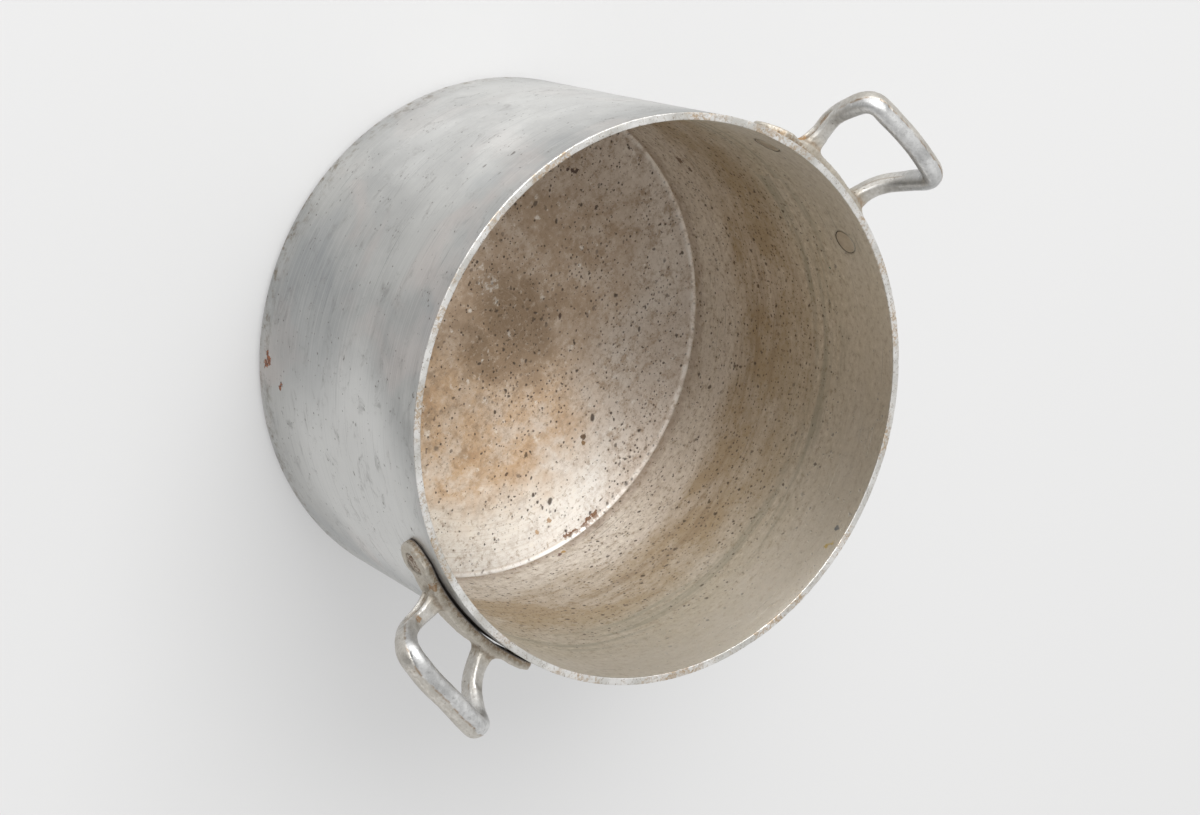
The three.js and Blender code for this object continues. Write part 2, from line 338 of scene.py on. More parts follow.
def outside_wall():
    """Brushed round the pot, with cool and warm patina, small scratches, specks and two rust marks near the base, two
    painted highlights and a painted shade patch.
    """
    paint = Paint("aluminium_outside")
    spread = paint.unrolled(paint.axis("Z"))
    tint = paint.between(paint.noise(11.0, detail=6.0, rough=0.62), 0.36, 0.64)
    paint.colour = paint.blend(tint, (0.35, 0.355, 0.35), (0.49, 0.49, 0.475))
    warm = paint.between(paint.noise(19.0, (0.4, 0.1, 0.7), detail=5.0, warp=0.5), 0.5, 0.66)
    paint.coat((0.56, 0.49, 0.46), warm, 0.38)
    cool = paint.between(paint.noise(15.0, (0.9, 0.3, 0.2), detail=5.0, warp=0.4), 0.54, 0.68)
    paint.coat((0.31, 0.33, 0.345), cool, 0.35)
    # painted highlights: two patches painted lighter where the brushed wall mirrors the bright floor and the key
    # light
    for angle, z, near, far, share in [(-27, 112, 0.045, 0.095, 0.9), (-122, 82, 0.045, 0.120, 0.7)]:
        shine = paint.between(paint.distance(on_wall(angle, z)), near, far, share, 0.0)
        paint.coat((0.68, 0.68, 0.665), shine)
    # painted shade: a patch painted darker where the wall mirrors the dark side of the room
    painted_shade_patch = paint.between(paint.distance(on_wall(-57, 60)), 0.015, 0.07, 0.45, 0.0)
    paint.coat((0.26, 0.275, 0.285), painted_shade_patch)
    brushed = paint.noise((9.0, 1100.0, 1.0), detail=4.0, rough=0.7, place=spread)
    paint.coat((0.68, 0.67, 0.65), paint.between(brushed, 0.38, 0.72, 0.0, 0.30))
    dark_lines = paint.noise((13.0, 700.0, 1.0), (0.4, 0.2, 0), detail=3.0, rough=0.6, place=spread)
    paint.coat((0.25, 0.25, 0.245), paint.between(dark_lines, 0.55, 0.78, 0.0, 0.4))
    smudges = paint.noise((60.0, 90.0, 1.0), (0.2, 0.5, 0), detail=7.0, rough=0.7, warp=0.8, place=spread)
    paint.coat((0.27, 0.262, 0.25), paint.between(smudges, 0.53, 0.70, 0.0, 0.45))
    scratches = scratch_lines(paint, spread)
    paint.coat((0.22, 0.22, 0.215), scratches, 0.5)
    crowd = paint.between(smudges, 0.46, 0.70, 0.08, 0.6)
    large = paint.pits(110.0, 0.11, paint.times(crowd, 0.7), spread, (0.3, 0.1, 0), 0.6)
    specks = paint.most(paint.pits(330.0, 0.2, crowd, spread), large)
    paint.coat((0.13, 0.115, 0.10), specks, 0.75)
    # painted shade and dark dirt between the flanges and the wall: the wall under each flange is painted near black
    under_flange = paint.between(paint.math("ABSOLUTE", paint.axis("Y")), 0.046, 0.053, 1.0, 0.0)
    flange_gap_shade_and_dirt = paint.times(under_flange, paint.between(paint.axis("Z"), 0.154, 0.159))
    tide = paint.plus(paint.axis("Z"), paint.times(paint.noise(260.0, detail=5.0, rough=0.7), 0.006))
    flange_gap_shade_and_dirt = paint.times(flange_gap_shade_and_dirt, paint.between(tide, 0.1795, 0.1835, 1.0, 0.0))
    paint.coat((0.055, 0.035, 0.02), flange_gap_shade_and_dirt, 0.93)
    # darker, browner patches along the bottom edge
    low = paint.between(paint.axis("Z"), 0.004, 0.024, 1.0, 0.0)
    bottom_patches = paint.times(low, paint.between(paint.noise(170.0, detail=6.0, rough=0.7), 0.48, 0.66))
    paint.coat((0.19, 0.15, 0.10), bottom_patches, 0.8)
    dull_marks = flange_gap_shade_and_dirt
    for angle, z, size in RUST_MARKS:
        rust = paint.spot(on_wall(angle, z), size, 1.1)
        tone = paint.blend(paint.between(paint.noise(700.0), 0.4, 0.6), (0.32, 0.10, 0.03), (0.09, 0.04, 0.025))
        paint.coat(tone, rust, 0.92)
        dull_marks = paint.most(dull_marks, rust)
    roughness = paint.between(paint.noise(26.0, detail=6.0, rough=0.62), 0.3, 0.7, 0.34, 0.50)
    roughness = paint.plus(roughness, paint.between(smudges, 0.5, 0.75, 0.0, 0.12))
    roughness = paint.plus(roughness, paint.times(dull_marks, 0.4), clamp=True)
    normal = paint.bump(brushed, 0.04)
    normal = paint.bump(paint.inverse(paint.most(specks, scratches)), 0.1, normal)
    return paint.finish(roughness, normal, paint.between(dull_marks, 0.0, 1.0, 1.0, 0.1), brushed=0.55)


def inside_wall():
    """Stained in bands: streaked at the foot, brown and pitted at mid height, grey-green and smooth above."""
    paint = Paint("aluminium_inside_wall")
    height = paint.axis("Z")
    spread = paint.unrolled(height)
    drift = paint.math("SUBTRACT", paint.noise((7.0, 20.0, 1.0), detail=6.0, rough=0.62, place=spread), 0.5)
    level = paint.plus(height, paint.times(drift, 0.09))
    cloud = paint.noise((18.0, 24.0, 1.0), (0.7, 0.3, 0), detail=7.0, rough=0.68, place=spread)
    streaks = paint.noise((7.0, 130.0, 1.0), (0.3, 0.2, 0), detail=6.0, rough=0.68, place=spread)
    paint.colour = paint.blend(paint.between(level, 0.03, 0.15), (0.68, 0.63, 0.57), (0.65, 0.61, 0.53))
    paint.coat((0.72, 0.675, 0.60), paint.between(streaks, 0.4, 0.65, 0.0, 0.55))
    olive = paint.times(paint.between(cloud, 0.3, 0.7), paint.between(level, 0.06, 0.12))
    paint.coat((0.50, 0.45, 0.33), olive, 0.5)
    fleck = paint.noise((210.0, 270.0, 1.0), (0.2, 0.9, 0), detail=6.0, rough=0.78, place=spread)
    paint.coat((0.34, 0.27, 0.18), paint.between(fleck, 0.50, 0.64, 0.0, 0.7))
    paint.coat((0.82, 0.78, 0.70), paint.between(fleck, 0.36, 0.47, 0.6, 0.0))
    rise = paint.between(level, 0.042, 0.056)
    fall = paint.between(level, 0.085, 0.130, 1.0, 0.0)
    band = paint.times(rise, fall)
    brown = paint.times(band, paint.between(cloud, 0.36, 0.58, 0.25, 1.0))
    paint.coat((0.40, 0.30, 0.175), brown, 0.8)
    lines = paint.times(band, paint.between(streaks, 0.5, 0.66))
    paint.coat((0.27, 0.195, 0.125), lines, 0.45)
    green = paint.times(paint.between(level, 0.108, 0.122), paint.between(level, 0.128, 0.15, 1.0, 0.0))
    green = paint.times(green, paint.between(streaks, 0.44, 0.62))
    paint.coat((0.33, 0.32, 0.25), green, 0.6)
    # short marks left by boiling, just above the corner
    boiled = paint.noise((160.0, 70.0, 1.0), detail=5.0, rough=0.62, warp=0.5, place=spread)
    top = paint.plus(height, paint.times(paint.math("SUBTRACT", boiled, 0.5), 0.03))
    foot = paint.times(paint.between(top, 0.007, 0.017, 1.0, 0.0), paint.between(boiled, 0.3, 0.6, 0.35, 0.85))
    paint.coat((0.34, 0.26, 0.20), foot, 0.75)
    haze = paint.noise((70.0, 90.0, 1.0), (0.5, 0.5, 0), detail=7.0, rough=0.72, place=spread)
    lower = paint.between(height, 0.09, 0.15, 0.5, 0.1)
    paint.coat((0.38, 0.30, 0.21), paint.times(paint.between(haze, 0.50, 0.72), lower))
    crowd = paint.plus(paint.times(brown, 0.55), paint.between(haze, 0.38, 0.62, 0.18, 0.6))
    crowd = paint.times(crowd, paint.between(height, 0.105, 0.165, 1.0, 0.22))
    large = paint.pits(160.0, 0.18, paint.times(crowd, 0.8), spread, (0.4, 0.7, 0))
    pits = paint.most(paint.pits(350.0, 0.26, crowd, spread), large)
    paint.coat((0.07, 0.045, 0.026), pits, 0.9)
    near_rim = paint.between(height, 0.13, 0.17)
    paint.coat((0.62, 0.59, 0.53), near_rim, 0.4)
    scratches = scratch_lines(paint, spread)
    paint.coat((0.25, 0.22, 0.18), scratches, 0.5)
    seat_x, seat_y = ((RIVET_WALL - WALL) * turned(RIVET_ANGLE) for turned in (math.cos, math.sin))
    for seat in [(x, y, RIVET_Z) for x in (-seat_x, seat_x) for y in (-seat_y, seat_y)]:
        paint.coat((0.06, 0.05, 0.03), paint.spot(seat, HEAD_RADIUS + 1.1, 0.05), 0.95)
    for angle, z, size, tone in [
        (65.6, 12.5, 1.7, (0.10, 0.03, 0.02)),
        (67.0, 12.0, 1.6, (0.42, 0.25, 0.06)),
        (97.4, 185.0, 1.9, (0.55, 0.42, 0.14)),
        (96.4, 182.0, 1.3, (0.55, 0.42, 0.15)),
        (100.9, 181.5, 1.6, (0.20, 0.22, 0.23)),
        (156.3, 142.4, 0.7, (0.02, 0.12, 0.08)),
        (178.6, 37.0, 2.6, (0.15, 0.10, 0.065)),
        (175.8, 40.0, 1.8, (0.16, 0.11, 0.07)),
        (146.5, 68.0, 1.1, (0.10, 0.07, 0.045)),
        (95.0, 74.0, 1.5, (0.11, 0.08, 0.05)),
    ]:
        mark = paint.spot(on_wall(angle, z, inside=True), size, 1.1)
        paint.coat(tone, mark, 0.85)
    rubbed = paint.noise((8.0, 1000.0, 1.0), detail=4.0, rough=0.7, place=spread)
    paint.coat((0.40, 0.36, 0.30), paint.between(rubbed, 0.52, 0.75, 0.0, 0.25))
    roughness = paint.between(fleck, 0.3, 0.7, 0.46, 0.58)
    normal = paint.bump(rubbed, 0.04)
    normal = paint.bump(paint.inverse(paint.most(pits, scratches)), 0.2, normal)
    metallic = paint.times(paint.between(brown, 0.0, 1.0, 0.92, 0.66), paint.between(pits, 0.0, 1.0, 1.0, 0.3))
    return paint.finish(roughness, normal, metallic, brushed=0.6)


def inside_floor():
    """Tan over one half, grey-brown over the other, with turning lines, pits, pale scale and crusts by the wall, and
    painted highlights near the wall and along the round corner.
    """
    paint = Paint("aluminium_inside_floor")
    spread = paint.unrolled(paint.radius())
    cloud = paint.noise(15.0, detail=7.0, rough=0.66, warp=0.3)
    grain = paint.noise(120.0, (0.3, 0.3, 0), detail=7.0, rough=0.75)
    bare_and_highlight = paint.blend(paint.between(cloud, 0.35, 0.65), (0.58, 0.505, 0.44), (0.70, 0.645, 0.59))
    tan_reach = paint.plus(paint.distance((30, 26, 4)), paint.times(cloud, -0.10))
    tan = paint.between(tan_reach, -0.005, 0.05, 1.0, 0.0)
    patches = paint.noise(48.0, (0.6, 0.1, 0), detail=8.0, rough=0.72)
    # painted highlight: the floor is painted lighter, and made a little smoother, where the brushed highlight falls
    # near the wall
    near_corner = paint.math("MINIMUM", paint.distance((54, 110, 4)), paint.distance((104, 78, 4)))
    painted_highlight = paint.between(paint.plus(near_corner, paint.times(patches, 0.06)), 0.06, 0.115, 1.0, 0.0)
    bare_and_highlight = paint.blend(paint.times(painted_highlight, 0.92), bare_and_highlight, (0.80, 0.80, 0.795))
    tan_share = paint.times(tan, paint.between(patches, 0.36, 0.56, 0.5, 1.0))
    paint.colour = paint.blend(tan_share, bare_and_highlight, (0.55, 0.40, 0.27))
    paint.coat((0.42, 0.265, 0.15), paint.times(tan, paint.between(patches, 0.52, 0.66, 0.0, 0.5)))
    dark_reach = paint.plus(paint.distance((-48, -12, 4)), paint.times(cloud, -0.15))
    dark = paint.between(dark_reach, -0.03, 0.022, 1.0, 0.0)
    dark_share = paint.times(dark, paint.between(patches, 0.34, 0.58, 0.5, 0.95))
    paint.coat((0.40, 0.30, 0.215), dark_share)
    centre_reach = paint.plus(paint.distance((-12, 10, 4)), paint.times(patches, -0.06))
    centre = paint.between(centre_reach, -0.010, 0.016, 1.0, 0.0)
    paint.coat((0.23, 0.16, 0.10), centre, 0.8)
    stained = paint.most(tan, dark)
    grimy = paint.times(paint.between(grain, 0.46, 0.66, 0.0, 0.75), paint.between(painted_highlight, 0.0, 1.0, 1.0, 0.45))
    paint.coat((0.35, 0.26, 0.18), grimy)
    pale = paint.noise(300.0, (0.1, 0.8, 0), detail=5.0, rough=0.75)
    paint.coat((0.78, 0.72, 0.65), paint.between(pale, 0.52, 0.68, 0.0, 0.28))
    paint.coat((0.31, 0.23, 0.16), paint.between(pale, 0.34, 0.47, 0.6, 0.0))
    turned = paint.noise((5.0, 900.0, 1.0), detail=4.0, rough=0.65, place=spread)
    paint.coat((0.42, 0.345, 0.275), paint.between(turned, 0.5, 0.74, 0.0, 0.35))
    scale_spots = paint.times(paint.pits(130.0, 0.3, 0.2, paint.place, (0.7, 0.1, 0)), paint.between(pale, 0.42, 0.6))
    paint.coat((0.84, 0.82, 0.78), scale_spots, 0.6)
    crowd = paint.between(paint.noise(26.0, (0.9, 0.2, 0), detail=5.0), 0.34, 0.66, 0.25, 0.8)
    crowd = paint.times(crowd, paint.between(painted_highlight, 0.0, 1.0, 1.0, 0.5))
    large = paint.pits(170.0, 0.19, paint.times(crowd, 0.8), paint.place, (0.5, 0.2, 0))
    pits = paint.most(paint.pits(360.0, 0.25, crowd, paint.place), large)
    pits = paint.most(pits, paint.pits(70.0, 0.11, 0.45, paint.place, (0.2, 0.6, 0)))
    paint.coat((0.05, 0.032, 0.02), pits, 0.9)
    for x, y, size, tone in [
        (-1, 99, 1.8, (0.12, 0.075, 0.045)), (1.5, 102, 1.3, (0.22, 0.13, 0.06)), (33, 75.5, 1.6, (0.12, 0.08, 0.05)),
        (50, 73.7, 1.2, (0.11, 0.07, 0.05)), (-105, -28.6, 1.4, (0.08, 0.05, 0.04)),
        (-103, -31, 1.2, (0.08, 0.05, 0.04)),
        (-107, -26, 1.3, (0.08, 0.05, 0.04)), (-101, 1, 1.4, (0.07, 0.05, 0.04)), (-40, 30, 1.6, (0.08, 0.05, 0.04)),
        *((x, y, size, (0.17, 0.08, 0.035)) for x, y, size in CRUSTS), (60, 117, 1.5, (0.45, 0.32, 0.2)),
        (50, 119, 1.4, (0.4, 0.28, 0.18)),
    ]:
        crust = paint.spot((x, y, FLOOR), size, 1.2)
        paint.coat(tone, crust, 0.9)
    powder = paint.times(paint.spot((-20.7, -22.6, FLOOR), 7, 0.9), paint.between(pale, 0.42, 0.62))
    paint.coat((0.70, 0.67, 0.63), powder, 0.5)
    # the round corner at the foot of the wall is painted lighter here and there: a painted highlight, with some
    # rubbed wear
    edge = paint.times(paint.between(paint.radius(), 0.1444, 0.1452), paint.between(grain, 0.36, 0.56, 0.85, 0.2))
    paint.coat((0.74, 0.70, 0.65), edge)
    roughness = paint.between(grain, 0.3, 0.7, 0.42, 0.62)
    roughness = paint.plus(roughness, paint.times(painted_highlight, -0.08))
    roughness = paint.plus(roughness, paint.times(edge, 0.2))
    normal = paint.bump(turned, 0.05)
    normal = paint.bump(grain, 0.10, normal)
    normal = paint.bump(paint.inverse(pits), 0.22, normal)
    metallic = paint.times(paint.between(stained, 0.0, 1.0, 0.92, 0.62), paint.between(pits, 0.0, 1.0, 1.0, 0.3))
    return paint.finish(roughness, normal, metallic, brushed=0.7)


def rim_metal():
    """Sawn flat and worn: light, with brown specks, pits and rubbed edges."""
    paint = Paint("aluminium_rim")
    tint = paint.between(paint.noise(60.0, detail=5.0), 0.35, 0.65)
    paint.colour = paint.blend(tint, (0.56, 0.55, 0.52), (0.74, 0.73, 0.71))
    scuffs = paint.noise(420.0, detail=6.0, rough=0.72, warp=0.6)
    paint.coat((0.30, 0.26, 0.21), paint.between(scuffs, 0.52, 0.70, 0.0, 0.7))
    stain = paint.times(paint.between(paint.noise(45.0, (0.4, 0, 0)), 0.46, 0.62), paint.between(scuffs, 0.42, 0.58))
    paint.coat((0.40, 0.28, 0.16), stain, 0.7)
    specks = paint.pits(750.0, 0.3, 0.4, paint.place)
    paint.coat((0.20, 0.15, 0.10), specks, 0.7)
    roughness = paint.between(scuffs, 0.3, 0.7, 0.34, 0.54)
    normal = paint.bump(scuffs, 0.14)
    normal = paint.bump(paint.inverse(specks), 0.04, normal)
    return paint.finish(roughness, normal)


def underside():
    """Dull and scuffed where it has slid on hobs, darker towards the middle."""
    paint = Paint("aluminium_underside")
    cloud = paint.noise(12.0, (0.2, 0.7, 0), detail=6.0, rough=0.6)
    paint.colour = paint.blend(paint.between(cloud, 0.35, 0.65), (0.36, 0.35, 0.34), (0.52, 0.515, 0.50))
    soot = paint.plus(paint.radius(), paint.times(cloud, 0.08))
    paint.coat((0.20, 0.18, 0.16), paint.between(soot, 0.06, 0.17, 0.6, 0.0))
    scratches = scratch_lines(paint, paint.place)
    paint.coat((0.66, 0.66, 0.65), scratches, 0.5)
    edge = paint.between(paint.radius(), 0.1445, 0.1475)
    paint.coat((0.60, 0.60, 0.59), edge, 0.5)
    specks = paint.pits(260.0, 0.22, 0.3, paint.place)
    paint.coat((0.12, 0.10, 0.08), specks, 0.7)
    roughness = paint.between(cloud, 0.3, 0.7, 0.45, 0.62)
    normal = paint.bump(paint.noise(240.0, detail=5.0, rough=0.65), 0.08)
    return paint.finish(roughness, normal, brushed=0.4)


def cast_metal(name, shift, stains):
    """Cast and given a hand polish: bright on its ridges, rough and brown in its corners, with painted shade and dirt
    where it meets the wall.
    """
    paint = Paint(name)
    bend, shine, seam = paint.attribute("curve"), paint.attribute("handled"), paint.attribute("seam")
    corner, gap = paint.attribute("corner"), paint.attribute("from_gap")
    gap_shade_and_dirt = paint.between(gap, 0.3, 1.1, 1.0, 0.0)
    mottle = paint.noise(70.0, shift, detail=6.0, rough=0.65)
    paint.colour = paint.blend(paint.between(mottle, 0.35, 0.65), (0.44, 0.44, 0.435), (0.62, 0.62, 0.615))
    sand = paint.noise(480.0, shift, detail=6.0, rough=0.72)
    raw = paint.inverse(shine)
    scuffed = paint.noise((330.0, 330.0, 900.0), (shift[2], shift[0], shift[1]), detail=7.0, rough=0.78)
    paint.coat((0.30, 0.295, 0.285), paint.between(scuffed, 0.50, 0.66, 0.0, 0.6))
    paint.coat((0.80, 0.80, 0.79), paint.between(scuffed, 0.33, 0.46, 0.5, 0.0))
    paint.coat((0.52, 0.465, 0.375), raw, 0.7)
    dusty = paint.times(raw, paint.between(sand, 0.42, 0.60))
    paint.coat((0.38, 0.34, 0.28), dusty, 0.5)
    hollow = paint.most(paint.between(bend, -0.15, -0.6), paint.times(corner, 0.75))
    dirt = paint.times(hollow, paint.between(paint.noise(140.0, shift, detail=6.0, rough=0.7), 0.40, 0.60, 0.1, 1.0))
    paint.coat((0.18, 0.12, 0.065), dirt, 0.85)
    rusty = paint.between(paint.noise(48.0, (shift[1], shift[2], shift[0]), detail=4.0), 0.56, 0.66)
    rusty = paint.times(rusty, paint.times(raw, paint.between(sand, 0.4, 0.56)))
    paint.coat((0.36, 0.24, 0.13), rusty, 0.5)
    line = paint.times(seam, paint.between(paint.noise(170.0, shift, detail=4.0), 0.42, 0.56))
    paint.coat((0.27, 0.18, 0.10), line, 0.8)
    for centre, size in stains:
        stain = paint.times(paint.spot(centre, size, 0.8), paint.between(sand, 0.36, 0.5, 0.35, 1.0))
        paint.coat((0.33, 0.19, 0.08), stain, 0.8)
    seeping = paint.times(paint.between(gap, 0.8, 4.5, 1.0, 0.0), paint.between(sand, 0.40, 0.58, 0.15, 0.9))
    paint.coat((0.25, 0.17, 0.095), paint.times(seeping, raw))
    # painted shade and dirt: the flange's face against the wall is painted near black
    paint.coat((0.05, 0.03, 0.018), gap_shade_and_dirt)
    ridge = paint.between(bend, 0.25, 0.8)
    ridge = paint.times(ridge, paint.between(shine, 0.0, 1.0, 0.12, 0.5))
    paint.coat((0.76, 0.76, 0.75), ridge)
    specks = paint.pits(420.0, 0.2, paint.between(shine, 0.0, 1.0, 0.65, 0.22), shift=shift)
    paint.coat((0.13, 0.10, 0.07), specks, 0.75)
    roughness = paint.between(shine, 0.0, 1.0, 0.56, 0.41)
    roughness = paint.plus(roughness, paint.between(mottle, 0.3, 0.7, -0.04, 0.10))
    roughness = paint.plus(roughness, paint.between(scuffed, 0.35, 0.65, -0.05, 0.10))
    dirt_and_gap_shade = paint.most(gap_shade_and_dirt, paint.times(dirt, 0.8))
    roughness = paint.plus(roughness, paint.times(dirt_and_gap_shade, 0.35), clamp=True)
    normal = paint.bump(paint.times(sand, raw), 0.3)
    normal = paint.bump(paint.noise(260.0, shift, detail=5.0, rough=0.6), 0.10, normal)
    normal = paint.bump(scuffed, 0.05, normal)
    normal = paint.bump(paint.inverse(specks), 0.2, normal)
    return paint.finish(roughness, normal, paint.between(dirt_and_gap_shade, 0.0, 1.0, 1.0, 0.1))


def rivet_metal():
    """Flush heads a little lighter than the wall, with a stained edge; the hammered ends are dark and grainy."""
    paint = Paint("aluminium_rivet")
    inside = paint.between(paint.radius(), 0.1575, 0.1595, 1.0, 0.0)
    mottle = paint.noise(130.0, detail=5.0, rough=0.6)
    head = paint.blend(paint.between(mottle, 0.35, 0.65), (0.56, 0.52, 0.44), (0.68, 0.64, 0.56))
    grain = paint.noise(700.0, detail=5.0, rough=0.7)
    tail = paint.blend(paint.between(grain, 0.42, 0.6), (0.46, 0.41, 0.34), (0.14, 0.085, 0.05))
    paint.colour = paint.blend(inside, tail, head)
    specks = paint.pits(500.0, 0.22, 0.12)
    paint.coat((0.14, 0.11, 0.08), specks, 0.6)
    roughness = paint.between(mottle, 0.3, 0.7, 0.42, 0.58)
    return paint.finish(roughness, paint.bump(grain, 0.1), 0.92)


# ---- pot body ----
def dents(points):
    """How far the hand-worn wall is off its true round, outwards, growing towards the free rim."""
    angle = np.arctan2(points[:, 1], points[:, 0])
    rise = points[:, 2] / POT_HEIGHT
    oval = 0.6 * (1 - np.cos(2 * angle)) * rise**1.5
    calm = smooth_step(np.abs(np.sin(angle)), 0.3, 0.45)  # the wall stays true under the flanges
    return oval + calm * rise * (0.12 * ripples(points, 150, 3) + 0.015 * ripples(points, 45, 4))


def body_profile():
    """Rings from the middle of the underside, up the outside, over the rim and down to the middle of the floor.

    Each is (radius, height, material slot of the faces that follow it).
    """
    outside, rim, inner, floor, under = range(5)
    rings = [(r, 0, under) for r in (12, 30, 50, 70, 90, 108, 124, 136, 143)]
    foot = wall_radius(BASE_CORNER)
    for turn in np.linspace(-90, 0, 9):
        turn = math.radians(turn)
        ring = (foot - BASE_CORNER + BASE_CORNER * math.cos(turn), BASE_CORNER + BASE_CORNER * math.sin(turn))
        rings.append((*ring, under if turn < math.radians(-80) else outside))
    rings += [(wall_radius(z), z, outside) for z in np.linspace(9, POT_HEIGHT - 3, 36)]
    for turn in (0, 30, 60, 90):
        out, rise = RIM_EDGE * math.cos(math.radians(turn)), RIM_EDGE * math.sin(math.radians(turn))
        rings.append((RIM_RADIUS - RIM_EDGE + out, POT_HEIGHT - RIM_EDGE + rise, rim))
    rings += [(RIM_RADIUS - WALL * share, POT_HEIGHT, rim) for share in (0.25, 0.4, 0.55, 0.7)]
    for turn in (90, 60, 30, 0):
        out, rise = RIM_EDGE * math.cos(math.radians(turn)), RIM_EDGE * math.sin(math.radians(turn))
        slot = inner if turn == 0 else rim
        rings.append((RIM_RADIUS - WALL + RIM_EDGE - out, POT_HEIGHT - RIM_EDGE + rise, slot))
    rings += [(wall_radius(z) - WALL, z, inner) for z in np.linspace(POT_HEIGHT - 3, 9, 36)]
    inner_foot = wall_radius(FLOOR + FLOOR_FILLET) - WALL - FLOOR_FILLET
    for turn in np.linspace(0, -90, 7):
        turn = math.radians(turn)
        ring = (inner_foot + FLOOR_FILLET * math.cos(turn), FLOOR + FLOOR_FILLET + FLOOR_FILLET * math.sin(turn))
        rings.append((*ring, inner if turn > math.radians(-25) else floor))
    rings += [(r, FLOOR, floor) for r in (144.8, 144, 143.2, 142.4, 141, 137, 130, 120, 108, 94, 78, 60, 42, 24, 10)]
    return rings


def body_mesh(materials):
    rings = body_profile()
    segments = BODY_SEGMENTS
    angles = np.arange(segments) * 2 * math.pi / segments
    radius = np.repeat([r for r, _, _ in rings], segments)
    height = np.repeat([z for _, z, _ in rings], segments)
    around = np.tile(angles, len(rings))
    points = np.stack([radius * np.cos(around), radius * np.sin(around), height], 1)
    radial = np.stack([np.cos(around), np.sin(around), 0 * around], 1)
    points = points + radial * dents(points)[:, None] * smooth_step(height, 8, 40)[:, None]
    # nicks and wear on the rim
    near_rim = smooth_step(height, POT_HEIGHT - 3.2, POT_HEIGHT - 0.4)
    wear = 0.07 * ripples(points, 7, 11) + 0.05 * ripples(points, 2.6, 12)
    points[:, 2] += near_rim * (np.minimum(wear, 0.04) - 0.04)
    random = np.random.default_rng(21)
    middle = RIM_RADIUS - WALL / 2
    for angle in random.uniform(0, 2 * math.pi, 46):
        side = middle + random.choice([-1, 1]) * 2.0
        nick = np.array([side * math.cos(angle), side * math.sin(angle), POT_HEIGHT])
        reach = np.linalg.norm(points - nick, axis=1) / random.uniform(0.9, 1.8)
        points[:, 2] -= near_rim * random.uniform(0.15, 0.42) * np.exp(-(reach**2))
    # burnt crusts left in the corner
    for x, y, size in CRUSTS:
        reach = np.linalg.norm(points - [x, y, FLOOR], axis=1) / (0.6 * size)
        points[:, 2] += 0.55 * np.exp(-(reach**2)) * (1 + 0.3 * ripples(points, 2.5, 15))
    points = np.vstack([points, [[0, 0, 0], [0, 0, FLOOR]]])
    faces = closed_tube(len(rings), segments, len(points) - 2, len(points) - 1)
    slots = np.repeat([slot for _, _, slot in rings[:-1]], segments).tolist()
    slots += [rings[0][2], rings[-1][2]] * segments
    return mesh_object("pot_body", points, faces, materials, slots)


def lathe(profile, segments=TURNED_SEGMENTS):
    """Points and faces of a solid turned round the X axis, from [distance along the axis, radius] pairs."""
    turn = np.arange(segments) * 2 * math.pi / segments
    rows = [np.stack([np.full(segments, along), radius * np.cos(turn), radius * np.sin(turn)], 1)
            for along, radius in profile]
    points = np.vstack([*rows, [[profile[0][0], 0, 0], [profile[-1][0], 0, 0]]])
    return points, closed_tube(len(profile), segments, len(points) - 2, len(points) - 1)


def place_at_rivet(points, side, turn):
    """Turns points made along the X axis to one rivet's place."""
    spin = Matrix.Rotation(turn + side * RIVET_ANGLE, 3, "Z")
    return points @ np.array(spin).T + [0, 0, RIVET_Z]


def cut_rivet_holes(body):
    """Cuts the four stepped rivet holes through the wall."""
    points, faces = [], []
    inner = RIVET_WALL - WALL
    profile = [(inner - 3, HEAD_RADIUS + RIVET_GAP), (inner + HEAD_DEPTH * 0.5, HEAD_RADIUS + RIVET_GAP),
               (inner + HEAD_DEPTH + 0.4, SHANK_RADIUS + RIVET_GAP), (inner + WALL + 3, SHANK_RADIUS + RIVET_GAP)]
    for turn in (0, math.pi):
        for side in (-1, 1):
            own, own_faces = lathe(profile)
            start = len(own) * len(points)
            faces += [[corner + start for corner in face] for face in own_faces]
            points.append(place_at_rivet(own, side, turn))
    cutter = mesh_object("rivet_holes", np.vstack(points), faces, [])
    cutting = body.modifiers.new("holes", "BOOLEAN")
    cutting.object = cutter
    cutting.solver = "EXACT"
    bpy.context.view_layer.update()
    cut = bpy.data.meshes.new_from_object(body.evaluated_get(bpy.context.evaluated_depsgraph_get()))
    body.modifiers.clear()
    body.data = cut
    bpy.data.objects.remove(cutter)
    cut.shade_smooth()
    cut.set_sharp_from_angle(angle=math.radians(38))


